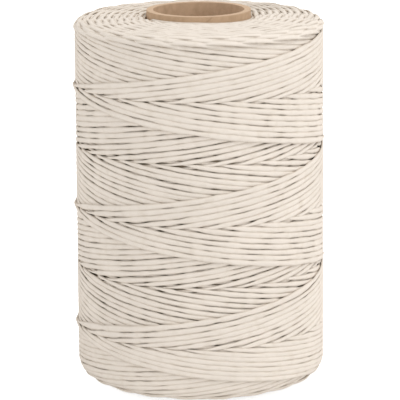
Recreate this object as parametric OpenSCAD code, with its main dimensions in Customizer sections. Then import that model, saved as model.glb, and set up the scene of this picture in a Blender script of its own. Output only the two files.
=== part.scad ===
// Spool of waxed flat thread, cross-wound on a paper core tube.
// Origin: centre of the tube's lower rim. +Z runs up along the tube.

/* [Paper core] */
// Inside diameter of the core tube, which goes over a peg or a spindle
core_bore = 30; // [20:0.5:40]
// Thickness of one ply of core board
ply_thickness = 0.5; // [0.3:0.05:0.8]
// Thickness of the glue between two plies
glue_line = 0.04; // [0.02:0.01:0.1]
// Length that the tube stands out of the winding at each end
core_overhang = 2; // [1:0.5:8]
// Rise of a ply's spiral in one turn round the tube
ply_lead = 96; // [70:2:140]
// Open joint between the edges of a middle ply
ply_joint_gap = 0.4; // [0.3:0.1:1]

/* [Winding] */
// Outside diameter of the full winding
winding_diameter = 83; // [64:1:120]
// Height of the full winding, between its two flat ends
winding_height = 120; // [110:1:180]
// Radius of the rounded edge where the side turns into the upper end
top_shoulder_radius = 3; // [2:0.25:4.5]
// Radius of the rounded edge where the side turns into the lower end
bottom_shoulder_radius = 4; // [2:0.25:4.5]
// How far both ends of the winding swell out from the shoulder to the core
end_crown = 0.9; // [0:0.1:1.5]
// Height of the rings that the buried layers' reversals make on both ends
ridge_height = 0.6; // [0.2:0.1:0.8]

/* [Thread] */
// Width of the flat thread
thread_width = 1.8; // [0.8:0.1:2]
// Thickness of the flat thread
thread_thickness = 0.65; // [0.4:0.05:0.9]
// Free space between a turn and the one that it crosses
crossing_gap = 0.5; // [0.45:0.05:0.8]
// Free space between the outer layer and the layers under it
layer_clearance = 0.1; // [0.05:0.05:0.3]
// Neighbouring threads, side by side, that one loop of the outer layer stands for
threads_abreast = 2; // [1:1:2]

/* [Lay of the outer layer] */
// Turns round the spool in one stroke from end to end
turns_per_stroke = 3; // [2:1:3]
// Strokes there and back that the outer layer shows
cycles = 4; // [2:1:4]
// How far the thread wraps round a shoulder before it turns back
reversal_angle = 50; // [30:5:55]
// Bend radius where an end of the thread dips into the winding
tuck_radius = 1.2; // [1:0.1:2]
// Free space round a tucked end
tuck_clearance = 0.6; // [0.4:0.1:1]

/* [Hidden] */

PAPER = [0.77, 0.62, 0.48];
BURIED_THREAD = [0.80, 0.76, 0.69];
THREAD = [0.90, 0.87, 0.81];

$fn = 96;
ply_count = 4;
joint_slices = 60;
cut_extra = 1;
rings_per_turn = 24;
ring_angle = 360 / rings_per_turn;
chord_shrink = cos(ring_angle / 2);
gap_samples = 3;
band_width = threads_abreast * thread_width;
near_turns = 3 * band_width;

ply_pitch = ply_thickness + glue_line;
core_radius = core_bore / 2 + ply_count * ply_pitch - glue_line;
core_length = winding_height + 2 * core_overhang;
winding_radius = winding_diameter / 2;
winding_bottom = core_overhang;
winding_top = core_overhang + winding_height;

// A layer's rising and falling turns lie on each other, and two layers make one ring on an end.
ridge_pitch = 4 * thread_thickness;
steps_per_ridge = 4;

// The outer layer is two threads deep: rising turns and falling turns cross each other.
level_step = thread_thickness + crossing_gap;
layer_depth = thread_thickness + level_step;
// The straight sides of the turns come nearer to the axis than their corners do.
buried_radius = (winding_radius - layer_depth) * chord_shrink - layer_clearance;

// A double stroke ends a part turn short, so each one lies beside the one before it.
cycle_rings = rings_per_turn * 2 * turns_per_stroke - rings_per_turn / cycles;
stroke_rings = cycle_rings / 2;
rings_per_crossing = rings_per_turn / (2 * cycles);
last_ring = cycles * cycle_rings;
// The two ends stand apart on the far side, each a little way from the lower reversal.
start_ring = 2;
end_ring = last_ring - 2;
first_ring_angle = 90;
// Rings next to a reversal at which the thread stays on top
reversal_rings = 1.5;

// ---------------------------------------------------------------- paper core

// One ply, counted from the bore outwards
module ply(number) {
    inner = core_bore / 2 + (number - 1) * ply_pitch;
    difference() {
        cylinder(h = core_length, r = inner + ply_thickness);
        translate([0, 0, -cut_extra])
            cylinder(h = core_length + 2 * cut_extra, r = inner);
    }
}

// The gap between the edges of one spiral strip, as a thin twisted blade
module spiral_joint(start_angle) {
    joint_length = core_length + 2 * cut_extra;
    twist_angle = 360 * joint_length / ply_lead;
    // Across the strip the open joint is narrower than it is round the tube.
    circumference = 2 * PI * core_radius;
    round_gap = ply_joint_gap * norm([circumference, ply_lead]) / ply_lead;
    translate([0, 0, -cut_extra])
        rotate(start_angle)
            linear_extrude(height = joint_length, twist = -twist_angle, slices = joint_slices, $fn = 4)
                translate([core_bore / 2 - cut_extra, -round_gap / 2])
                    square([core_radius - core_bore / 2 + 2 * cut_extra, round_gap]);
}

module core_inner_ply() {
    color(PAPER)
        ply(1);
}

module core_second_ply() {
    color(PAPER)
        difference() {
            ply(2);
            spiral_joint(0);
        }
}

module core_third_ply() {
    color(PAPER)
        difference() {
            ply(3);
            spiral_joint(180);
        }
}

module core_outer_ply() {
    color(PAPER)
        ply(4);
}

// ------------------------------------------------------------------- winding

// Rings on one end of the winding, from the core out to the shoulder, as [radius, swell]
function end_rings(shoulder) =
    let (
        width = buried_radius - shoulder - core_radius,
        ridges = max(1, round(width / ridge_pitch)),
        points = ridges * steps_per_ridge
    )
    [for (i = [0:points])
        let (share = i / points, wave = abs(cos(180 * i / steps_per_ridge)))
        [core_radius + share * width, end_crown * (1 - share) - ridge_height * (1 - wave)]];

// Points on an arc, from one angle to another
function arc_points(centre, radius, from_angle, to_angle, steps = 8) =
    [for (i = [0:steps])
        let (a = from_angle + (to_angle - from_angle) * i / steps)
        centre + radius * [cos(a), sin(a)]];

// Half section of the buried layers, with the rounded edges and the rings of the two ends
function buried_outline() =
    let (
        low = bottom_shoulder_radius,
        high = top_shoulder_radius,
        low_centre = [buried_radius - low, winding_bottom + low],
        high_centre = [buried_radius - high, winding_top - high],
        low_rings = [for (p = end_rings(low)) [p[0], winding_bottom - p[1]]],
        high_rings = [for (p = end_rings(high)) [p[0], winding_top + p[1]]]
    )
    concat(
        [for (i = [0:len(low_rings) - 2]) low_rings[i]],
        arc_points(low_centre, low, -90, 0),
        arc_points(high_centre, high, 0, 90),
        [for (i = [len(high_rings) - 2:-1:0]) high_rings[i]]
    );

module winding_buried_layers() {
    color(BURIED_THREAD)
        difference() {
            rotate_extrude()
                polygon(buried_outline());
            tuck_pocket(start_ring, -1);
            tuck_pocket(end_ring, 1);
        }
}

// Length that the thread follows round a shoulder
bottom_wrap = bottom_shoulder_radius * reversal_angle * PI / 180;
top_wrap = top_shoulder_radius * reversal_angle * PI / 180;
side_length = winding_height - bottom_shoulder_radius - top_shoulder_radius;
travel_length = bottom_wrap + side_length + top_wrap;

// Lean of the winding's surface at a distance along its outline: 0 on the straight side
function lean(along) =
    along < bottom_wrap ? -(bottom_wrap - along) / bottom_shoulder_radius * 180 / PI :
    along > bottom_wrap + side_length ?
        (along - bottom_wrap - side_length) / top_shoulder_radius * 180 / PI :
    0;

// Point of the outline at that distance, as [radius, height]
function outline_point(along) =
    let (
        a = lean(along),
        shoulder = a < 0 ? bottom_shoulder_radius : top_shoulder_radius,
        level = a < 0 ? winding_bottom + bottom_shoulder_radius :
            a > 0 ? winding_top - top_shoulder_radius :
            winding_bottom + bottom_shoulder_radius + along - bottom_wrap
    )
    a == 0 ? [winding_radius, level] :
    [winding_radius - shoulder, level] + shoulder * [cos(a), sin(a)];

function cycle_of(ring) = min(floor(ring / cycle_rings), cycles - 1);
function ring_in_cycle(ring) = ring - cycle_rings * cycle_of(ring);
function rising(ring) = ring_in_cycle(ring) <= stroke_rings;
// Rings counted up from the lower reversal, on either stroke
function rings_up(ring) =
    rising(ring) ? ring_in_cycle(ring) : cycle_rings - ring_in_cycle(ring);
function along_of(ring) = travel_length * rings_up(ring) / stroke_rings;

function wrapped(number) = (number % cycles + cycles) % cycles;
// The later stroke lies over the earlier one wherever the two cross.
function lies_over(ring) =
    let (
        crossing = round(rings_up(ring) / rings_per_crossing),
        own = cycle_of(ring),
        other = rising(ring) ? wrapped(own - crossing - 1) : wrapped(own + crossing + 1),
        reversal = rings_up(ring) < reversal_rings
            || rings_up(ring) > stroke_rings - reversal_rings
    )
    reversal || (rising(ring) ? own > other : own >= other);
function depth_of(ring) =
    thread_thickness / 2 + (lies_over(ring) ? 0 : level_step);

// Six corners of the flat band of threads, as [across, out]
band_section = let (
    half_width = band_width / 2,
    flat = (band_width - thread_width / 2) / 2,
    half = thread_thickness / 2
) [
    [half_width, 0], [flat, half], [-flat, half],
    [-half_width, 0], [-flat, -half], [flat, -half],
];

function angle_of(ring) = first_ring_angle + ring_angle * ring;
function outwards(ring) = [cos(angle_of(ring)), sin(angle_of(ring)), 0];
function onwards(ring) = [-sin(angle_of(ring)), cos(angle_of(ring)), 0];

// The thread's corners where it passes one of the planes through the axis
function thread_ring(ring) =
    let (
        along = along_of(ring),
        a = lean(along),
        normal = [cos(a), sin(a)],
        tangent = [-sin(a), cos(a)],
        middle = outline_point(along) - depth_of(ring) * normal
    )
    [for (corner = band_section)
        let (p = middle + corner[0] * tangent + corner[1] * normal)
        p[0] * outwards(ring) + [0, 0, p[1]]];

// An end dips into the buried layers: a bend, then a straight run to a square seat.
tuck_steps = 4;
tuck_lead = thread_width / 4;
seat_radius = buried_radius - band_width - tuck_radius;

function tuck_ring(ring, way, bend, drop) =
    let (
        across = outline_point(along_of(ring)),
        far = across[0] - depth_of(ring),
        out = outwards(ring),
        side = way * onwards(ring),
        middle = (far - tuck_radius * (1 - cos(bend)) - drop) * out
            + (tuck_lead + tuck_radius * sin(bend)) * side
            + [0, 0, across[1]],
        face = cos(bend) * out + sin(bend) * side
    )
    [for (corner = band_section) middle + [0, 0, corner[0]] + corner[1] * face];

function tuck_drop(ring) =
    outline_point(along_of(ring))[0] - depth_of(ring) - tuck_radius - seat_radius;

// Rings from the thread's last full ring to its seat
function tuck_rings(ring, way) = concat(
    [for (i = [0:tuck_steps]) tuck_ring(ring, way, 90 * i / tuck_steps, 0)],
    [tuck_ring(ring, way, 90, tuck_drop(ring))]
);

// Room in the buried layers for a tucked end, with a flat floor that its end stands on
module tuck_pocket(ring, way) {
    long = band_width + 2 * tuck_clearance;
    wide = thread_thickness + 2 * tuck_clearance;
    rotate(angle_of(ring))
        translate([
            seat_radius,
            way * (tuck_lead + tuck_radius) - wide / 2,
            outline_point(along_of(ring))[1] - long / 2,
        ])
            cube([winding_radius - seat_radius, wide, long]);
}

function reversed(list) = [for (i = [len(list) - 1:-1:0]) list[i]];

thread_rings = concat(
    reversed(tuck_rings(start_ring, -1)),
    [for (i = [start_ring:end_ring]) thread_ring(i)],
    tuck_rings(end_ring, 1)
);

// One closed tube through all rings, in triangles
module swept(rings) {
    sides = len(rings[0]);
    count = len(rings);
    points = [for (ring = rings) each ring];
    walls = [for (i = [0:count - 2]) for (j = [0:sides - 1])
        let (
            a = i * sides + j,
            b = i * sides + (j + 1) % sides,
            c = a + sides,
            d = b + sides
        )
        each [[a, d, b], [a, c, d]]];
    first_cap = [for (j = [1:sides - 2]) [0, j, j + 1]];
    far = (count - 1) * sides;
    last_cap = [for (j = [1:sides - 2]) [far, far + j + 1, far + j]];
    polyhedron(points = points, faces = concat(walls, first_cap, last_cap));
}

// ------------------------------------- least gap between passes of the thread

function point_to_edge(p, a, b) =
    let (edge = b - a, share = max(0, min(1, (p - a) * edge / (edge * edge))))
    norm(p - a - share * edge);
function corners_to_outline(corners, outline) =
    min([for (p = corners) for (j = [0:len(outline) - 1])
        point_to_edge(p, outline[j], outline[(j + 1) % len(outline)])]);
function section_gap(one, other) =
    min(corners_to_outline(one, other), corners_to_outline(other, one));
// The thread's corners part of the way from one ring to the next
function section_at(ring, share) =
    thread_ring(ring) * (1 - share) + thread_ring(ring + 1) * share;
// All passes of the thread through one plane that come near each other there
function gaps_in_plane(plane, share) =
    let (
        passes = [for (i = [plane:rings_per_turn:end_ring - 1]) if (i >= start_ring)
            section_at(i, share)]
    )
    [for (m = [0:1:len(passes) - 2]) for (n = [m + 1:1:len(passes) - 1])
        if (norm(passes[m][0] - passes[n][0]) < near_turns)
            section_gap(passes[m], passes[n])];
// The tucked ends against every pass that is not their own
function tuck_gaps(rings, own_ring) =
    [for (i = [start_ring:end_ring]) if (abs(i - own_ring) > rings_per_turn / 4)
        let (ring = thread_ring(i))
        for (tuck = rings) if (norm(ring[0] - tuck[0]) < 2 * near_turns)
            section_gap(ring, tuck)];
function least_gap() = min(concat(
    [for (plane = [0:rings_per_turn - 1]) for (step = [0:gap_samples - 1])
        each gaps_in_plane(plane, step / gap_samples)],
    tuck_gaps(tuck_rings(start_ring, -1), start_ring),
    tuck_gaps(tuck_rings(end_ring, 1), end_ring)
));

module winding_outer_layer() {
    echo(loops = last_ring / rings_per_turn, least_gap_to_itself_mm = least_gap());
    color(THREAD)
        swept(thread_rings);
}

core_inner_ply();
core_second_ply();
core_third_ply();
core_outer_ply();
winding_buried_layers();
winding_outer_layer();
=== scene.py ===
import math

import bpy
import numpy as np
from bpy.props import (
    FloatProperty,
    FloatVectorProperty,
    IntProperty,
    PointerProperty,
)
from mathutils import Matrix, Vector


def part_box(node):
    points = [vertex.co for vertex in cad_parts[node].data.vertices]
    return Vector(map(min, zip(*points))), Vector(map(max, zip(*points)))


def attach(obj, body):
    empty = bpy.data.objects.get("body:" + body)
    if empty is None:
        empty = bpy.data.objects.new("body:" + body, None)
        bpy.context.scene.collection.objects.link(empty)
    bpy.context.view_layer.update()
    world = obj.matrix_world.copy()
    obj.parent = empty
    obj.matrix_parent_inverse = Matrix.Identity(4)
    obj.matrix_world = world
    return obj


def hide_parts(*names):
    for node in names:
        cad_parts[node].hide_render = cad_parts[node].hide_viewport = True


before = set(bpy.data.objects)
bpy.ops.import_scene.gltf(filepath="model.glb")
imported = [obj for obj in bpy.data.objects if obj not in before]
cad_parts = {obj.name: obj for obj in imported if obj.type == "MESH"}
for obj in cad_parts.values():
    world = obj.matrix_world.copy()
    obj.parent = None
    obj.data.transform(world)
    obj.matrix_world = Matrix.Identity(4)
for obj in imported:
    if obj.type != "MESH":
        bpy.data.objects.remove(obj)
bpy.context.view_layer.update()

bl_info = {
    "name": "Waxed Thread Spool",
    "version": (1, 0, 0),
    "blender": (4, 5, 0),
    "location": "3D View > Sidebar > Spool",
    "description": "Cross-wound flat waxed thread on a paper core tube, with its studio",
    "category": "Add Mesh",
}

CORE_LOW, CORE_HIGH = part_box("core_outer_ply")
BORE_LOW, BORE_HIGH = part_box("core_inner_ply")
_, OUTER_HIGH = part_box("winding_outer_layer")

MM = 0.001
# The turns stand out this far beyond the CAD's outer layer.
STAND_OUT = 0.75 * MM
# Heights of the rows where rising and falling turns swap: they sit a little low.
FIRST_ROW, ROW_STEP = 20.26 * MM, 20.08 * MM
# Half the length of a reversal's bend, counted in crossings.
BEND_AT_REVERSAL = 0.9
# Lead of the spiral joint in the core board.
STRIP_LEAD = 96 * MM
# The camera's frame and focal length in pixels, and its sensor in millimetres.
FRAME_WIDTH, FOCAL_LENGTH, SENSOR_WIDTH = 400, 2212.4, 36


# ------------------------------------------------------------------ properties


class SPOOL_PG_thread(bpy.types.PropertyGroup):
    """The flat waxed thread"""

    thickness: FloatProperty(
        name="Thickness",
        description="Thickness of the flat thread",
        default=0.78 * MM,
        min=0.3 * MM,
        max=1.2 * MM,
        unit="LENGTH",
    )
    fill: FloatProperty(
        name="Fill",
        description="Share of the pitch that the thread's width fills",
        default=1.0,
        min=0.7,
        max=1.1,
        subtype="FACTOR",
    )
    wander: FloatProperty(
        name="Wander",
        description="How far a turn strays from its even place",
        default=0.20 * MM,
        min=0.0,
        max=0.5 * MM,
        unit="LENGTH",
    )
    colour: FloatVectorProperty(
        name="Thread",
        description="Colour of the waxed thread",
        subtype="COLOR",
        size=3,
        min=0.0,
        max=1.0,
        default=(0.795, 0.722, 0.646),
    )
    # Besides darker fibres and patches, this colour gives painted shade in the plait's grooves,
    # at the braid's edges and in the layers below.
    shade: FloatVectorProperty(
        name="Thread in shade",
        description="Colour of the thread's darker fibres",
        subtype="COLOR",
        size=3,
        min=0.0,
        max=1.0,
        default=(0.62, 0.54, 0.44),
    )


class SPOOL_PG_lay(bpy.types.PropertyGroup):
    """How the thread is laid on the spool"""

    cycles: IntProperty(
        name="Cycles",
        description="Strokes there and back that make one full layer",
        default=22,
        min=6,
        max=40,
    )
    turns: IntProperty(
        name="Turns per stroke",
        description="Turns round the spool from one end to the other",
        default=3,
        min=1,
        max=6,
    )
    first_angle: FloatProperty(
        name="Last reversal",
        description="Where the last cycle starts at the lower end",
        default=math.radians(15.25),
        subtype="ANGLE",
    )
    shoulder: FloatProperty(
        name="Shoulder",
        description="Radius of the rounded edge at the upper end",
        default=3.7 * MM,
        min=1.0 * MM,
        max=8.0 * MM,
        unit="LENGTH",
    )
    overhang: FloatProperty(
        name="Overhang",
        description="How far the core stands out above the winding's shoulders",
        default=2.4 * MM,
        min=0.5 * MM,
        max=8.0 * MM,
        unit="LENGTH",
    )
    crown: FloatProperty(
        name="Crown",
        description="How far the ends of the winding swell out towards the core",
        default=0.8 * MM,
        min=0.0,
        max=1.5 * MM,
        unit="LENGTH",
    )
    upper_turn: FloatProperty(
        name="Upper turn",
        description="How far short of the winding's upper end the last strokes turn back",
        default=2.3 * MM,
        min=0.0,
        max=6.0 * MM,
        unit="LENGTH",
    )
    lower_turn: FloatProperty(
        name="Lower turn",
        description="How far short of the winding's lower end the last strokes turn back",
        default=0.3 * MM,
        min=0.0,
        max=6.0 * MM,
        unit="LENGTH",
    )
    taper: FloatProperty(
        name="Taper",
        description="How much wider the winding is at the lower end",
        default=0.68 * MM,
        min=0.0,
        max=2.0 * MM,
        unit="LENGTH",
    )
    lower_shoulder: FloatProperty(
        name="Lower shoulder",
        description="Radius of the rounded edge at the lower end",
        default=4.6 * MM,
        min=1.0 * MM,
        max=8.0 * MM,
        unit="LENGTH",
    )
    lower_overhang: FloatProperty(
        name="Lower overhang",
        description="How far the core stands out below the winding",
        default=2.4 * MM,
        min=0.5 * MM,
        max=8.0 * MM,
        unit="LENGTH",
    )
    samples: IntProperty(
        name="Samples",
        description="Rings of the mesh from one crossing to the next",
        default=5,
        min=2,
        max=8,
    )


class SPOOL_PG_paper(bpy.types.PropertyGroup):
    """The paper core tube"""

    colour: FloatVectorProperty(
        name="Board",
        description="Colour of the core board",
        subtype="COLOR",
        size=3,
        min=0.0,
        max=1.0,
        default=(0.59, 0.415, 0.275),
    )
    fibre: FloatVectorProperty(
        name="Board fibres",
        description="Colour of the darker fibres in the board",
        subtype="COLOR",
        size=3,
        min=0.0,
        max=1.0,
        default=(0.43, 0.29, 0.18),
    )
    rim: FloatVectorProperty(
        name="Cut rim",
        description="Colour of the board where it is cut",
        subtype="COLOR",
        size=3,
        min=0.0,
        max=1.0,
        default=(0.60, 0.43, 0.29),
    )


class SPOOL_PG_studio(bpy.types.PropertyGroup):
    """Camera and light"""

    distance: FloatProperty(
        name="Distance",
        description="From the camera to the point that it looks at",
        default=0.739,
        min=0.2,
        max=5.0,
        unit="LENGTH",
    )
    elevation: FloatProperty(
        name="Elevation",
        description="How far the camera looks down",
        default=math.radians(13.65),
        subtype="ANGLE",
    )
    aim_height: FloatProperty(
        name="Aim height",
        description="Height of the point that the camera looks at",
        default=0.0597,
        unit="LENGTH",
    )
    roll: FloatProperty(
        name="Roll",
        description="How far the camera is turned about its line of sight",
        default=math.radians(-0.4),
        subtype="ANGLE",
    )
    key: FloatProperty(
        name="Key light",
        description="Power of the soft lamp at the upper right",
        default=8.8,
        min=0.0,
        max=100.0,
        unit="POWER",
    )
    room: FloatProperty(
        name="Room light",
        description="Strength of the even light from all round",
        default=0.87,
        min=0.0,
        max=2.0,
    )


# --------------------------------------------------------------- mesh building


def eased(share):
    """Gives an even change from 0 to 1 a soft start and a soft end."""
    return share * share * (3 - 2 * share)


def smooth_noise(rng, count, spacing, size):
    """A smooth random line: count values whose bumps are about spacing apart."""
    knots = rng.uniform(-1.0, 1.0, int(count / spacing) + 4)
    at = np.arange(count) / spacing + 1.0
    low = np.floor(at).astype(int)
    part = eased(at - low)
    return size * (knots[low] * (1 - part) + knots[low + 1] * part)


def noise_sum(rng, count, samples, waves):
    """Smooth random lines added up, each given as its spacing in crossings and its size."""
    return sum(smooth_noise(rng, count, spacing * samples, size) for spacing, size in waves)


def flat_section(sides):
    """Corners of the flat thread's section, from -1 to 1 both ways."""
    angles = 2 * math.pi * (np.arange(sides) + 0.5) / sides
    across = np.sign(np.cos(angles)) * np.abs(np.cos(angles)) ** 1.15
    out = np.sign(np.sin(angles)) * np.abs(np.sin(angles)) ** 1.15
    return np.stack([across, out], axis=1)


def mesh_from_tubes(name, tubes, lengths):
    """One object of closed tubes.

    A tube is an array of rings of points. Its lengths, one for each ring, run along it.
    """
    points, corner_loops, loop_totals, uvs, smooth = [], [], [], [], []
    offset = 0
    for rings, along in zip(tubes, lengths):
        count, sides, _ = rings.shape
        points.append(rings.reshape(-1, 3))
        i, j = np.meshgrid(np.arange(count - 1), np.arange(sides), indexing="ij")
        nxt = (j + 1) % sides
        a, b = i * sides + j, i * sides + nxt
        quads = np.stack([a, b, b + sides, a + sides], axis=-1).reshape(-1, 4) + offset
        v0, v1 = j / sides, (j + 1) / sides
        u0, u1 = along[i], along[i + 1]
        quad_uv = np.stack(
            [
                np.stack([u0, v0], -1),
                np.stack([u0, v1], -1),
                np.stack([u1, v1], -1),
                np.stack([u1, v0], -1),
            ],
            axis=2,
        ).reshape(-1, 2)
        corner_loops.append(quads.reshape(-1))
        loop_totals.append(np.full(len(quads), 4))
        uvs.append(quad_uv)
        smooth.append(np.ones(len(quads), bool))
        first = np.arange(sides)[::-1] + offset
        last = np.arange(sides) + offset + (count - 1) * sides
        for cap, u in ((first, along[0]), (last, along[-1])):
            corner_loops.append(cap)
            loop_totals.append(np.array([sides]))
            uvs.append(np.stack([np.full(sides, u), np.full(sides, 0.5)], -1))
            smooth.append(np.zeros(1, bool))
        offset += count * sides
    points = np.concatenate(points)
    corners = np.concatenate(corner_loops)
    totals = np.concatenate(loop_totals)
    mesh = bpy.data.meshes.new(name)
    mesh.vertices.add(len(points))
    mesh.vertices.foreach_set("co", points.astype(np.float32).reshape(-1))
    mesh.loops.add(len(corners))
    mesh.loops.foreach_set("vertex_index", corners.astype(np.int32))
    mesh.polygons.add(len(totals))
    starts = np.concatenate([[0], np.cumsum(totals)[:-1]])
    mesh.polygons.foreach_set("loop_start", starts.astype(np.int32))
    mesh.polygons.foreach_set("loop_total", totals.astype(np.int32))
    mesh.polygons.foreach_set("use_smooth", np.concatenate(smooth))
    layer = mesh.uv_layers.new(name="UVMap")
    layer.data.foreach_set("uv", np.concatenate(uvs).astype(np.float32).reshape(-1))
    mesh.update(calc_edges=True)
    mesh.validate()
    piece = bpy.data.objects.new(name, mesh)
    bpy.context.scene.collection.objects.link(piece)
    return piece


def finish_piece(piece, material, replaced=()):
    """Gives a piece its material and its body, and hides the CAD parts that it replaces."""
    piece.data.materials.clear()
    piece.data.materials.append(material)
    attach(piece, "root")
    for node in replaced:
        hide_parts(node)


# ----------------------------------------------------------- lay of the thread


class ThreadLay:
    """Where the thread of the outer layer runs, counted in crossings.

    Rising strokes wind to the right and falling ones too, so they cross every
    360 / (2 * cycles) degrees. The later stroke lies over the earlier one.
    """

    def __init__(self, lay, thread):
        self.cycles = lay.cycles
        self.top_crossing = 2 * lay.turns * lay.cycles - 1
        self.step = math.pi / lay.cycles
        self.first_angle = lay.first_angle
        self.thickness = thread.thickness
        self.low = CORE_LOW.z + lay.lower_overhang
        self.high = CORE_HIGH.z - lay.overhang
        self.shoulder = lay.shoulder
        self.lower_shoulder = lay.lower_shoulder
        self.outside = OUTER_HIGH.x + STAND_OUT
        self.taper = lay.taper
        stroke = self.high - self.low
        self.rise = stroke / self.top_crossing
        # Rising and falling turns share the height between two crossings.
        self.half_width = thread.fill * self.rise
        row_at = np.arange(1, 2 * lay.turns) * lay.cycles - 0.5
        row_height = CORE_LOW.z + FIRST_ROW + ROW_STEP * np.arange(len(row_at))
        ends = self.low + lay.lower_turn, self.high - lay.upper_turn
        self.known_at = np.concatenate([[0.0], row_at, [self.top_crossing]])
        self.known_height = np.concatenate([[ends[0]], row_height, [ends[1]]])
        self.blunt = BEND_AT_REVERSAL

    def settle(self, points):
        """Draws points of the winding in by its slight taper."""
        up = (points[..., 2] - self.low) / (self.high - self.low)
        reach = np.hypot(points[..., 0], points[..., 1])
        share = np.clip((reach - CORE_HIGH.x) / (self.outside - CORE_HIGH.x), 0, 1)
        shrink = 1 - self.taper * up * share / np.maximum(reach, MM)
        return points * np.stack([shrink, shrink, np.ones_like(shrink)], -1)

    def from_row(self, position):
        """Crossings to the nearest row of swaps. There is none at either end."""
        half = self.cycles / 2
        away = np.abs((position + 0.5 + half) % self.cycles - half)
        at_end = self.from_end(position) < half
        return np.where(at_end, self.cycles, away)

    def from_end(self, position):
        """Crossings to the nearer reversal."""
        return np.minimum(position, self.top_crossing - position)

    def surface(self, rising, falling):
        """Outside radius where two strokes of these cycles cross."""
        last = self.cycles - 1
        return self.outside - self.thickness * ((1 - rising / last) + (1 - falling / last))

    def middle_radius(self, cycle, crossing, rising):
        """Radius of the thread's middle at each crossing of a stroke."""
        crossing = np.asarray(crossing)
        if rising:
            other = (cycle - crossing - 1) % self.cycles
            over = cycle > other
            outside = self.surface(cycle, other)
        else:
            other = (cycle + crossing + 1) % self.cycles
            over = cycle >= other
            outside = self.surface(other, cycle)
        return outside - self.thickness * np.where(over, 0.5, 1.5)

    def stroke_nodes(self):
        """Crossing numbers and radii of all strokes, one after another."""
        up = np.arange(0, self.top_crossing + 1)
        crossing, radius = [], []
        for cycle in range(self.cycles):
            for rising in (True, False):
                order = up if rising else up[::-1]
                values = self.middle_radius(cycle, order, rising)
                if crossing:
                    # One reversal belongs to both strokes.
                    radius[-1][-1] = (radius[-1][-1] + values[0]) / 2
                    order, values = order[1:], values[1:]
                crossing.append(order)
                radius.append(values.astype(float))
        return np.concatenate(crossing), np.concatenate(radius)


def outline_frame(height, radius, lay):
    """Radius, height and lean of the winding's outline, for a height along its straight side."""
    top_start = lay.high - lay.shoulder
    bottom_start = lay.low + lay.lower_shoulder
    bend = np.where(height > top_start, lay.shoulder, lay.lower_shoulder)
    straight = np.clip(height, bottom_start, top_start)
    lean = (height - straight) / bend
    r = radius - bend * (1 - np.cos(lean))
    z = straight + bend * np.sin(lean)
    return r, z, lean


def sweep_section(theta, r, z, turn, half_width, half_thick, section):
    """Rings of the section at points of a path, each in its plane through the axis."""
    tangent = np.stack([-np.sin(turn), np.cos(turn)], -1)
    normal = np.stack([np.cos(turn), np.sin(turn)], -1)
    across = section[None, :, 0:1] * half_width[:, None, None]
    out = section[None, :, 1:2] * half_thick[:, None, None]
    rz = (
        np.stack([r, z], -1)[:, None, :]
        + across * tangent[:, None, :]
        + out * normal[:, None, :]
    )
    x = rz[..., 0] * np.cos(theta)[:, None]
    y = rz[..., 0] * np.sin(theta)[:, None]
    return np.stack([x, y, rz[..., 1]], -1)


def rounded_reversal(crossing, lay):
    """Bends the sharp turn at either end into a round one."""
    low = np.sqrt(crossing**2 + lay.blunt**2)
    high = lay.top_crossing - np.sqrt((lay.top_crossing - crossing) ** 2 + lay.blunt**2)
    return np.where(crossing < lay.top_crossing / 2, low, high)


# ------------------------------------------------------------------- materials


class Bench:
    """A node tree, with short calls for the nodes that the finishes need."""

    def __init__(self, tree, output):
        self.nodes, self.links = tree.nodes, tree.links
        self.nodes.clear()
        self.output = self.add(output)

    def add(self, kind, sockets=()):
        """A new node. Each named socket gets a value of its own or a link."""
        node = self.nodes.new("ShaderNode" + kind)
        for name, value in dict(sockets).items():
            self.feed(node.inputs[name], value)
        return node

    def feed(self, socket, value):
        """Links an output to a socket, or sets the socket's own value."""
        if isinstance(value, bpy.types.NodeSocket):
            self.links.new(value, socket)
        else:
            socket.default_value = value

    def math(self, operation, *values):
        """The result of one operation on outputs and numbers."""
        node = self.add("Math")
        node.operation = operation
        for socket, value in zip(node.inputs, values):
            self.feed(socket, value)
        return node.outputs[0]

    def mix(self, share, first, second):
        """A colour that goes over from the first to the second."""
        node = self.add("Mix")
        node.data_type = "RGBA"
        self.feed(node.inputs["Factor"], share)
        for name, value in (("A", first), ("B", second)):
            is_output = isinstance(value, bpy.types.NodeSocket)
            self.feed(node.inputs[name], value if is_output else (*value, 1.0))
        return node.outputs["Result"]

    def noise(self, vector, scale, detail, rough=0.55):
        """Noise at a place, from about 0 to 1."""
        sockets = {"Vector": vector, "Scale": scale, "Detail": detail, "Roughness": rough}
        return self.add("TexNoise", sockets).outputs["Fac"]

    def ramp(self, value, low, high):
        """0 up to the low value, 1 from the high one on."""
        sockets = {"Value": value, "From Min": low, "From Max": high}
        return self.add("MapRange", sockets).outputs["Result"]

    def part(self, value, low, high, most):
        """A ramp that ends at a share of 1."""
        return self.math("MULTIPLY", self.ramp(value, low, high), most)

    def stretch(self, vector, scale):
        """The place, stretched by a scale along each axis."""
        return self.add("Mapping", {"Vector": vector, "Scale": scale}).outputs["Vector"]

    def bump(self, shader, height, strength, distance):
        """Lets a height show in the shader's surface."""
        sockets = {"Strength": strength, "Distance": distance, "Height": height}
        self.links.new(self.add("Bump", sockets).outputs["Normal"], shader.inputs["Normal"])

    def looked_at(self):
        """1 for the camera, for gloss and for clear pieces, and 0 for other light."""
        path = self.add("LightPath").outputs
        indirect = self.math("MAXIMUM", path["Is Glossy Ray"], path["Is Transmission Ray"])
        return self.math("MAXIMUM", path["Is Camera Ray"], indirect)


def new_material(name):
    """A material with its bench and its shader."""
    material = bpy.data.materials.new(name)
    material.use_nodes = True
    bench = Bench(material.node_tree, "OutputMaterial")
    shader = bench.add("BsdfPrincipled")
    bench.links.new(shader.outputs["BSDF"], bench.output.inputs["Surface"])
    return material, bench, shader


def times(colour, factor):
    """A colour made lighter or darker, all over or channel by channel."""
    factors = factor if isinstance(factor, tuple) else (factor,) * 3
    return tuple(v * k for v, k in zip(colour, factors))


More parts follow.
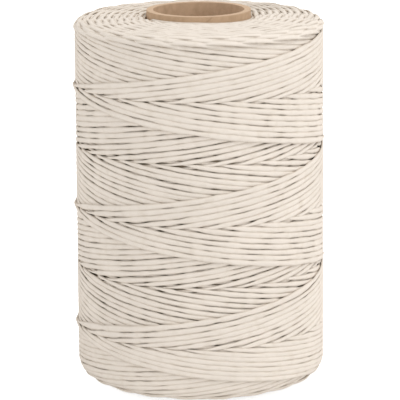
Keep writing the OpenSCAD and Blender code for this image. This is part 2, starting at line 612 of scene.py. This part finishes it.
def thread_material():
    """Waxed flat braid: crosswise plait ribs, soft mottling, painted shade and a dull wax
    surface.
    """
    props = bpy.context.scene.spool_thread
    material, bench, shader = new_material("waxed_braid")
    uv = bench.add("UVMap")
    uv.uv_map = "UVMap"
    split = bench.add("SeparateXYZ", {"Vector": uv.outputs["UV"]})
    along, around = split.outputs["X"], split.outputs["Y"]
    place = bench.add("TexCoord").outputs["Object"]

    # Plait: two sets of slanting ribs, counted along the thread in millimetres.
    ribs_per_mm, slant = 1.4, 4.0
    ribs = []
    for direction in ("ADD", "SUBTRACT"):
        straight = bench.math("MULTIPLY", along, ribs_per_mm)
        slanting = bench.math(direction, straight, bench.math("MULTIPLY", around, slant))
        wave = bench.math("SINE", bench.math("MULTIPLY", slanting, math.pi))
        ribs.append(bench.math("ABSOLUTE", wave))
    plait = bench.math("MULTIPLY", *ribs)

    # Fibres run along the thread.
    fibre_place = {
        "X": bench.math("MULTIPLY", along, 0.25),
        "Y": bench.math("MULTIPLY", around, 9.0),
    }
    fibre_vector = bench.add("CombineXYZ", fibre_place).outputs["Vector"]
    fibres = bench.noise(fibre_vector, scale=3.0, detail=2.0)
    mottle = bench.noise(place, scale=60.0, detail=3.0)
    patch = bench.noise(place, scale=420.0, detail=2.0)

    tone = bench.mix(bench.ramp(mottle, 0.35, 0.70), props.colour, times(props.colour, 0.95))
    tone = bench.mix(bench.part(patch, 0.5, 0.8, most=0.35), tone, props.shade)
    # Painted shade: the thread is darker in the grooves between the plait ribs.
    tone = bench.mix(bench.part(plait, 0.35, 0.0, most=0.30), tone, props.shade)
    # Painted shade: the colour darkens towards the edges of the flat braid, where its sides lie
    # in shade.
    turn = bench.math("ADD", bench.math("MULTIPLY", around, 2 * math.pi), 0.35)
    side = bench.math("ABSOLUTE", bench.math("COSINE", turn))
    tone = bench.mix(bench.part(side, 0.5, 1.0, most=0.5), tone, times(props.shade, 0.85))
    bench.feed(shader.inputs["Base Color"], tone)

    plait_height = bench.math("MULTIPLY", plait, 0.7)
    fibre_height = bench.math("MULTIPLY", fibres, 0.5)
    relief = bench.math("ADD", plait_height, fibre_height)
    bench.bump(shader, relief, strength=0.5, distance=0.06 * MM)
    rough = bench.math("ADD", bench.math("MULTIPLY", mottle, 0.18), 0.55)
    bench.feed(shader.inputs["Roughness"], rough)
    shader.inputs["Specular IOR Level"].default_value = 0.0
    return material


def buried_material():
    """The same thread in the layers below, where little light comes."""
    props = bpy.context.scene.spool_thread
    material, bench, shader = new_material("shaded_braid")
    place = bench.add("TexCoord").outputs["Object"]
    streaks = bench.noise(bench.stretch(place, (60.0, 60.0, 700.0)), scale=1.0, detail=3.0)
    dark = times(props.shade, (0.42, 0.38, 0.33))
    light = times(props.shade, (0.68, 0.64, 0.58))
    bench.feed(shader.inputs["Base Color"], bench.mix(bench.ramp(streaks, 0.3, 0.7), dark, light))
    bench.bump(shader, streaks, strength=0.5, distance=0.2 * MM)
    shader.inputs["Roughness"].default_value = 0.8
    shader.inputs["Specular IOR Level"].default_value = 0.0
    return material


def board_material():
    """Brown core board: felted fibres, a spiral joint and a paler cut rim."""
    props = bpy.context.scene.spool_paper
    material, bench, shader = new_material("felted_board")
    place = bench.add("TexCoord").outputs["Object"]
    split = bench.add("SeparateXYZ", {"Vector": place})
    x, y, height = (split.outputs[axis] for axis in "XYZ")

    # The joint climbs by one lead in a turn.
    turn = bench.math("MULTIPLY", bench.math("ARCTAN2", y, x), 1 / (2 * math.pi))
    climb = bench.math("MULTIPLY", height, 1 / STRIP_LEAD)
    spiral = bench.math("FRACT", bench.math("SUBTRACT", climb, turn))
    from_joint = bench.math("ABSOLUTE", bench.math("SUBTRACT", spiral, 0.5))
    joint = bench.ramp(from_joint, 0.006, 0.0)

    fine = bench.noise(place, scale=1600.0, detail=4.0, rough=0.65)
    broad = bench.noise(place, scale=160.0, detail=3.0)
    flattened = bench.stretch(place, (500.0, 500.0, 320.0))
    felt = bench.noise(flattened, scale=1.0, detail=4.0, rough=0.6)
    tone = bench.mix(bench.part(felt, 0.35, 0.75, most=0.8), props.colour, props.fibre)
    lighter = times(props.colour, 1.12)
    tone = bench.mix(bench.part(broad, 0.35, 0.75, most=0.30), tone, lighter)
    tone = bench.mix(bench.math("MULTIPLY", joint, 0.45), tone, times(props.fibre, 0.6))

    # The cut shows on the last bit of both ends.
    cut_from, cut_to = 0.35 * MM, 0.05 * MM
    top = bench.ramp(height, BORE_HIGH.z - cut_from, BORE_HIGH.z - cut_to)
    bottom = bench.ramp(height, BORE_LOW.z + cut_from, BORE_LOW.z + cut_to)
    rim = bench.math("MULTIPLY", bench.math("MAXIMUM", top, bottom), 0.85)
    tone = bench.mix(rim, tone, props.rim)

    # The outer face of the tube is painted darker.
    squares = [bench.math("MULTIPLY", side, side) for side in (x, y)]
    within, on_face = ((CORE_HIGH.x - below * MM) ** 2 for below in (0.4, 0.1))
    darker_outside = bench.part(bench.math("ADD", *squares), within, on_face, most=0.25)
    tone = bench.mix(darker_outside, tone, times(props.fibre, 0.76))
    bench.feed(shader.inputs["Base Color"], tone)

    relief = bench.math("ADD", fine, bench.math("MULTIPLY", joint, -1.2))
    bench.bump(shader, relief, strength=0.4, distance=0.12 * MM)
    shader.inputs["Roughness"].default_value = 0.82
    shader.inputs["Specular IOR Level"].default_value = 0.25
    return material


# ----------------------------------------------------------------- outer layer

# Smooth random lines, each as pairs of a spacing in crossings and a size.
WANDER = ((40, 0.7), (11, 0.5), (3, 0.2))
WIDTH_NOISE = ((5, 0.06), (1, 0.10), (0.5, 0.21))
ROLL_NOISE = ((0.7, math.radians(9)),)
THICKNESS_NOISE = ((4, 0.08),)
# A turn goes over or under from this share of the way to the next crossing, over this
# length of it.
CLIMB_FROM, CLIMB_LENGTH = 0.12, 0.76
# How far a turn rolls over where it swaps, and how sharply.
SWAP_ROLL, SWAP_SHARPNESS = math.radians(21), 1.3
# How much a turn is drawn in at a row of swaps, and over how many crossings. The second
# number of each pair is the difference from one side of the spool to the other.
PINCH, PINCH_REACH = (0.46, 0.14), (0.8, 0.15)
# Width of the newest turn, and how much narrower the oldest is.
NEWEST_WIDTH, AGE_NARROWS, AGE_BY_SIDE = 1.09, 0.175, 0.06
# Both ends of the thread dip this deep, over this many crossings.
TUCK_DEPTH, TUCK_LENGTH = 2.2 * MM, 1.5
# The mesh of the thread is cut into this many objects.
OUTER_PIECES = 5


def outer_route(lay, samples):
    """At each ring of the thread: crossings so far, place in the stroke, radius and roll."""
    crossing, radius = lay.stroke_nodes()
    count = (len(crossing) - 1) * samples + 1
    at = np.arange(count) / samples
    low = np.minimum(at.astype(int), len(crossing) - 2)
    part = at - low
    climb = eased(np.clip((part - CLIMB_FROM) / CLIMB_LENGTH, 0, 1))
    position = crossing[low] * (1 - part) + crossing[low + 1] * part
    middle = radius[low] * (1 - climb) + radius[low + 1] * climb

    rising = crossing[low + 1] > crossing[low]
    lower = np.minimum(crossing[low], crossing[low + 1])
    swap = ((lower + 1) % lay.cycles == 0) & (lower > 0) & (lower < lay.top_crossing)
    roll = np.where(swap, np.sin(math.pi * part) ** SWAP_SHARPNESS, 0.0)
    roll = roll * np.where(rising, SWAP_ROLL, -SWAP_ROLL)
    return at, position, middle, roll


def outer_rings(lay, thread, samples, rng):
    """Rings of points along the whole outer layer, and the length of thread at each."""
    at, position, middle, roll = outer_route(lay, samples)
    count = len(at)
    start_angle = lay.first_angle + (lay.cycles - 1) * 2 * math.pi / lay.cycles
    theta = start_angle + at * lay.step
    side = np.cos(theta)

    height = np.interp(rounded_reversal(position, lay), lay.known_at, lay.known_height)
    calm = np.clip(lay.from_end(position) / 3, 0, 1)
    height = height + noise_sum(rng, count, samples, WANDER) * thread.wander * calm

    # The turns are drawn in at the swaps, more on one side than on the other.
    reach = PINCH_REACH[0] - PINCH_REACH[1] * side
    drawn_in = np.exp(-((lay.from_row(position) / reach) ** 2))
    pinch = 1 - (PINCH[0] - PINCH[1] * side) * drawn_in
    uneven = noise_sum(rng, count, samples, WIDTH_NOISE)
    roll = roll + noise_sum(rng, count, samples, ROLL_NOISE)
    # The older turns lie a little apart, the newest ones close together.
    age = 1 - at / at[-1]
    width = lay.half_width * pinch * (1 + uneven)
    width = width * (NEWEST_WIDTH - AGE_NARROWS * age) * (1 + AGE_BY_SIDE * age * side)
    thick = lay.thickness / 2 * (1 + noise_sum(rng, count, samples, THICKNESS_NOISE))
    thick = thick / np.sqrt(pinch)

    # Both ends of the thread dip into the layers below.
    tucked = sum(np.clip(1 - away / TUCK_LENGTH, 0, 1) for away in (at, at[-1] - at))
    middle = middle - TUCK_DEPTH * tucked**1.5

    r, z, lean = outline_frame(height, middle, lay)
    rings = sweep_section(theta, r, z, lean + roll, width, thick, flat_section(10))
    centre = np.stack([r * np.cos(theta), r * np.sin(theta), z], -1)
    steps = np.linalg.norm(np.diff(centre, axis=0), axis=1)
    return lay.settle(rings), np.concatenate([[0], np.cumsum(steps)]) / MM


# ------------------------------------------------------------- ends of winding

# Points of one loop, in degrees from its peak.
LOOP_POINTS = np.array(
    [-26, -20, -15, -11, -8, -5.5, -3, 0, 3, 5.5, 8, 11, 15, 20, 26.0]
)
# The loop goes over its neighbour within this many degrees of the peak.
LOOP_CLIMB = 6
# The rings of loops: how far the first lies from the outer layer's reversals, and the
# step from one to the next.
FIRST_RING, RING_STEP = 1.3 * MM, 1.28 * MM
# The outermost ring lies inside the surface by this share of the thread's thickness.
RING_INSET = 0.8
# Room for the first turn between the rings and the core.
ROOM_AT_CORE = 1.05 * MM
# How deep below the end of the winding the loops' edges lie, and every second ring's.
LOOP_EDGE, RING_GROOVE = 0.3 * MM, 0.27 * MM
# A loop tilts by this share of its way round the shoulder. Its legs lie flatter: at this
# depth beside the peak they have only this share of the tilt.
LOOP_TILT, LEG_DEPTH, LEG_TILT = 0.9, 3 * MM, 0.2
# The legs go into the winding by this share of their depth.
LEG_SINK = 0.8
# How much the loops stray: angles in radians and distances in metres.
STRAY_ROUND, STRAY_TILT, STRAY = math.radians(1.5), math.radians(10), 0.1 * MM
# The first turn, at the core: its course in degrees, the points on it, how far its edge
# lies below the rim and how deep its two ends dip.
CORE_TURN, CORE_TURN_POINTS = (202, 546), 130
BELOW_RIM, CORE_TURN_DIP = 1.25 * MM, 1.2 * MM


def sink(theta):
    """How much lower the turns lie next to the core, most of all on the right."""
    return (0.35 + 0.85 * np.clip(np.cos(theta), 0, 1)) * MM


def end_loops(lay, crown, sign, rng):
    """Rings of points of all loops on the upper (sign 1) or lower (-1) end, and their lengths."""
    if sign > 0:
        level, bend = lay.high, lay.shoulder
        last = lay.known_height[-1] - lay.blunt * lay.rise
    else:
        level, bend = lay.low, lay.lower_shoulder
        last = lay.known_height[0] + lay.blunt * lay.rise
    rounding = lay.blunt * math.degrees(lay.step)
    slope = lay.rise / math.degrees(lay.step)
    depth = slope * (np.sqrt(LOOP_POINTS**2 + rounding**2) - rounding)
    over = eased(np.clip((LOOP_POINTS + LOOP_CLIMB) / (2 * LOOP_CLIMB), 0, 1)) - 0.5
    half_width = np.full(len(LOOP_POINTS), lay.half_width)
    half_thick = np.full(len(LOOP_POINTS), lay.thickness / 2)
    section = flat_section(8)

    base = lay.outside - RING_INSET * lay.thickness
    quarter = bend * math.pi / 2
    first = max(0.0, sign * (last - level) + bend) + FIRST_RING
    whole = quarter + base - bend - (CORE_HIGH.x + ROOM_AT_CORE)
    count = round((whole - first) / RING_STEP)
    tubes, lengths = [], []
    for layer in range(count + 1):
        # The rings go up round the shoulder and then straight in to the core.
        reach = first + (whole - first) * layer / count
        lift = min(reach / bend, math.pi / 2)
        flat = max(0.0, reach - quarter)
        inward = flat / (whole - quarter)
        peak_radius = base - bend * (1 - math.cos(lift)) - flat
        for number in range(lay.cycles):
            angle = lay.first_angle + (number + layer * 0.5) * 2 * math.pi / lay.cycles
            angle += rng.uniform(-STRAY_ROUND, STRAY_ROUND)
            theta = angle + np.radians(LOOP_POINTS)
            tilt = lift * LOOP_TILT + rng.uniform(-STRAY_TILT, STRAY_TILT)
            lean = tilt * np.clip(1 - depth / LEG_DEPTH, LEG_TILT, 1)
            r = peak_radius + lay.thickness * over + rng.uniform(-STRAY, STRAY)
            r = r - LEG_SINK * depth * math.cos(lift)
            edge = (LOOP_EDGE + rng.uniform(-STRAY, STRAY)) * math.sin(lift)
            edge += bend * (1 - math.sin(lift)) - crown * inward
            # Every second ring lies in a groove.
            edge += RING_GROOVE * (layer % 2) * math.sin(lift) ** 3
            z = level - sign * (edge + depth + sink(theta) * inward**6)
            rings = sweep_section(theta, r, z, sign * lean, half_width, half_thick, section)
            tubes.append(lay.settle(rings))
            lengths.append(np.radians(LOOP_POINTS) * peak_radius / MM + rng.uniform(0, 500))
    return tubes, lengths


def core_turn(lay, sign):
    """Rings of points of the turn that lies flat against the core, and their lengths."""
    theta = np.radians(np.linspace(*CORE_TURN, CORE_TURN_POINTS))
    number = np.arange(CORE_TURN_POINTS)
    dip = np.clip(1 - np.minimum(number, number[::-1]) / 4, 0, 1) * CORE_TURN_DIP
    rim = CORE_HIGH.z if sign > 0 else CORE_LOW.z
    rings = sweep_section(
        theta,
        np.full(CORE_TURN_POINTS, CORE_HIGH.x + 0.03 * MM + lay.thickness / 2),
        rim - sign * (BELOW_RIM + lay.half_width + dip + sink(theta)),
        np.zeros(CORE_TURN_POINTS),
        np.full(CORE_TURN_POINTS, lay.half_width),
        np.full(CORE_TURN_POINTS, lay.thickness / 2),
        flat_section(8),
    )
    return rings, theta * CORE_HIGH.x / MM


# ---------------------------------------------------------------------- studio


def add_floor():
    """Adds a wide white floor, which keeps the shadow of what stands on it."""
    bpy.ops.object.select_all(action="DESELECT")
    bpy.ops.mesh.primitive_plane_add(size=6.0, location=(0, 0, 0))
    floor = bpy.context.active_object
    floor.name = "studio_floor"
    material, bench, shader = new_material("studio_white")
    shader.inputs["Base Color"].default_value = (0.9, 0.9, 0.9, 1)
    shader.inputs["Roughness"].default_value = 0.9
    shader.inputs["Specular IOR Level"].default_value = 0.1
    strength = bench.math("MULTIPLY", bench.looked_at(), 0.8)
    glow = bench.add("Emission", {"Strength": strength})
    both = bench.add("AddShader")
    bench.feed(both.inputs[0], shader.outputs["BSDF"])
    bench.feed(both.inputs[1], glow.outputs["Emission"])
    bench.feed(bench.output.inputs["Surface"], both.outputs["Shader"])
    floor.data.materials.append(material)


def add_room(scene, light):
    """Adds even white light from all round. The room itself looks pure white."""
    world = bpy.data.worlds.new("studio_room")
    scene.world = world
    world.use_nodes = True
    bench = Bench(world.node_tree, "OutputWorld")
    missing = bench.math("MULTIPLY", bench.looked_at(), 1.0 - light)
    strength = bench.math("ADD", missing, light)
    back = bench.add("Background", {"Color": (1, 1, 1, 1), "Strength": strength})
    bench.feed(bench.output.inputs["Surface"], back.outputs["Background"])


def add_lamps(scene, key):
    """Adds three soft round lamps. Each has a place, a size and a share of the key light."""
    for name, place, size, share in (
        ("key_lamp", (0.75, -0.3, 1.35), 0.9, 0.85),
        ("side_lamp", (1.3, -0.75, 0.15), 0.8, 0.3),
        ("fill_lamp", (-0.9, -0.7, 0.6), 0.9, 0.15),
    ):
        lamp = bpy.data.lights.new(name, "AREA")
        lamp.shape = "DISK"
        lamp.size = size
        lamp.energy = key * share
        holder = bpy.data.objects.new(name, lamp)
        scene.collection.objects.link(holder)
        holder.location = place
        aim = Vector((0, 0, 0.06)) - holder.location
        holder.rotation_euler = aim.to_track_quat("-Z", "Y").to_euler()


def add_camera(scene, studio):
    """Adds the camera, in front of the spool and a little above it."""
    lens = bpy.data.cameras.new("studio_camera")
    lens.lens = SENSOR_WIDTH * FOCAL_LENGTH / FRAME_WIDTH
    lens.sensor_width = SENSOR_WIDTH
    lens.sensor_fit = "HORIZONTAL"
    lens.clip_start = 0.01
    camera = bpy.data.objects.new("studio_camera", lens)
    scene.collection.objects.link(camera)
    camera.location = (
        0,
        -studio.distance * math.cos(studio.elevation),
        studio.aim_height + studio.distance * math.sin(studio.elevation),
    )
    level = Matrix.Rotation(math.pi / 2 - studio.elevation, 3, "X")
    camera.rotation_euler = (level @ Matrix.Rotation(studio.roll, 3, "Z")).to_euler()
    scene.camera = camera


# ------------------------------------------------------------------- operators


class SPOOL_OT_outer_turns(bpy.types.Operator):
    """Winds the outer layer: one thread, three turns up and three down, over and under itself"""

    bl_idname = "spool.outer_turns"
    bl_label = "Outer Turns"

    def execute(self, context):
        thread, lay_props = context.scene.spool_thread, context.scene.spool_lay
        lay = ThreadLay(lay_props, thread)
        samples = lay_props.samples
        rings, length = outer_rings(lay, thread, samples, np.random.default_rng(7))
        material = thread_material()
        rings_per_cycle = 2 * lay.top_crossing * samples
        for number in range(OUTER_PIECES):
            first = round(lay.cycles * number / OUTER_PIECES) * rings_per_cycle
            last = round(lay.cycles * (number + 1) / OUTER_PIECES) * rings_per_cycle + 1
            name = f"thread_outer_{number + 1}"
            piece = mesh_from_tubes(name, [rings[first:last]], [length[first:last]])
            replaced = ["winding_outer_layer"] if number == 0 else []
            finish_piece(piece, material, replaced)
        return {"FINISHED"}


class SPOOL_OT_end_turns(bpy.types.Operator):
    """Lays the reversals of all buried layers on both ends of the winding"""

    bl_idname = "spool.end_turns"
    bl_label = "End Turns"

    def execute(self, context):
        thread, lay_props = context.scene.spool_thread, context.scene.spool_lay
        lay = ThreadLay(lay_props, thread)
        rng = np.random.default_rng(11)
        material = bpy.data.materials["waxed_braid"]
        for end, sign in (("top", 1), ("bottom", -1)):
            tubes, lengths = end_loops(lay, lay_props.crown, sign, rng)
            rings, length = core_turn(lay, sign)
            piece = mesh_from_tubes(f"thread_ends_{end}", [*tubes, rings], [*lengths, length])
            finish_piece(piece, material)
        return {"FINISHED"}


class SPOOL_OT_buried_turns(bpy.types.Operator):
    """Makes the body of the older layers, which shows only between the turns"""

    bl_idname = "spool.buried_turns"
    bl_label = "Buried Turns"

    def execute(self, context):
        thread, lay_props = context.scene.spool_thread, context.scene.spool_lay
        lay = ThreadLay(lay_props, thread)
        # The deepest turns of the outer layer lie on it.
        outside = lay.outside - 4.0 * lay.thickness
        inside = CORE_HIGH.x + 0.02 * MM
        low, high = lay.low + 2.1 * MM, lay.high - 2.1 * MM
        edge = 1.5 * MM
        outline = [(inside, low), (outside - edge, low)]
        outline += [
            (outside - edge * (1 - math.sin(a)), low + edge * (1 - math.cos(a)))
            for a in np.radians([30, 60, 90])
        ]
        outline += [
            (outside - edge * (1 - math.cos(a)), high - edge * (1 - math.sin(a)))
            for a in np.radians([0, 30, 60, 90])
        ]
        outline += [(inside, high)]

        bpy.ops.object.select_all(action="DESELECT")
        bpy.ops.mesh.primitive_circle_add(vertices=160, radius=outside, location=(0, 0, 0))
        body = context.active_object
        body.name = body.data.name = "winding_inner_layers"
        bpy.ops.object.mode_set(mode="EDIT")
        bpy.ops.mesh.select_all(action="SELECT")
        at_r, at_z = outline[0]
        bpy.ops.transform.resize(value=(at_r / outside, at_r / outside, 1))
        bpy.ops.transform.translate(value=(0, 0, at_z))
        for r, z in outline[1:]:
            bpy.ops.mesh.extrude_edges_move(TRANSFORM_OT_translate={"value": (0, 0, z - at_z)})
            bpy.ops.transform.resize(value=(r / at_r, r / at_r, 1), center_override=(0, 0, z))
            at_r, at_z = r, z
        bpy.ops.mesh.extrude_edges_move(TRANSFORM_OT_translate={"value": (0, 0, low - at_z)})
        bpy.ops.mesh.select_all(action="SELECT")
        bpy.ops.mesh.remove_doubles(threshold=0.001 * MM)
        bpy.ops.mesh.normals_make_consistent(inside=False)
        bpy.ops.object.mode_set(mode="OBJECT")
        bpy.ops.object.transform_apply(location=True, rotation=True, scale=True)
        bpy.ops.object.shade_smooth_by_angle(angle=math.radians(40))
        finish_piece(body, buried_material(), ["winding_buried_layers"])
        return {"FINISHED"}


class SPOOL_OT_core_tube(bpy.types.Operator):
    """Dresses the four plies of the core tube as felted board"""

    bl_idname = "spool.core_tube"
    bl_label = "Core Tube"

    def execute(self, context):
        material = board_material()
        for name in ("core_inner_ply", "core_second_ply", "core_third_ply", "core_outer_ply"):
            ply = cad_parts[name]
            if not ply.material_slots:
                raise RuntimeError(f"{name} has no material slot")
            for slot in ply.material_slots:
                slot.material = material
        return {"FINISHED"}


class SPOOL_OT_studio(bpy.types.Operator):
    """Sets up the pale floor, the soft lamps and the camera"""

    bl_idname = "spool.studio"
    bl_label = "Studio"

    def execute(self, context):
        scene, studio = context.scene, context.scene.spool_studio
        add_floor()
        add_room(scene, studio.room)
        add_lamps(scene, studio.key)
        add_camera(scene, studio)
        scene.view_settings.view_transform = "Standard"
        return {"FINISHED"}


class SPOOL_PT_panel(bpy.types.Panel):
    """Spool"""

    bl_idname = "SPOOL_PT_panel"
    bl_label = "Waxed Thread Spool"
    bl_space_type = "VIEW_3D"
    bl_region_type = "UI"
    bl_category = "Spool"

    def draw(self, context):
        scene = context.scene
        winding = (SPOOL_OT_outer_turns, SPOOL_OT_end_turns, SPOOL_OT_buried_turns)
        for title, group, operators in (
            ("Thread", scene.spool_thread, ()),
            ("Lay", scene.spool_lay, winding),
            ("Core board", scene.spool_paper, (SPOOL_OT_core_tube,)),
            ("Studio", scene.spool_studio, (SPOOL_OT_studio,)),
        ):
            box = self.layout.box()
            box.label(text=title)
            for key in group.__annotations__:
                box.prop(group, key)
            for operator in operators:
                box.operator(operator.bl_idname)


CLASSES = (
    SPOOL_PG_thread,
    SPOOL_PG_lay,
    SPOOL_PG_paper,
    SPOOL_PG_studio,
    SPOOL_OT_outer_turns,
    SPOOL_OT_end_turns,
    SPOOL_OT_buried_turns,
    SPOOL_OT_core_tube,
    SPOOL_OT_studio,
    SPOOL_PT_panel,
)


def register():
    for cls in CLASSES:
        bpy.utils.register_class(cls)
    bpy.types.Scene.spool_thread = PointerProperty(type=SPOOL_PG_thread)
    bpy.types.Scene.spool_lay = PointerProperty(type=SPOOL_PG_lay)
    bpy.types.Scene.spool_paper = PointerProperty(type=SPOOL_PG_paper)
    bpy.types.Scene.spool_studio = PointerProperty(type=SPOOL_PG_studio)


def unregister():
    for name in ("spool_thread", "spool_lay", "spool_paper", "spool_studio"):
        delattr(bpy.types.Scene, name)
    for cls in reversed(CLASSES):
        bpy.utils.unregister_class(cls)


def main():
    register()
    bpy.ops.spool.studio()
    bpy.ops.spool.core_tube()
    bpy.ops.spool.outer_turns()
    bpy.ops.spool.end_turns()
    bpy.ops.spool.buried_turns()


if __name__ == "__main__":
    main()
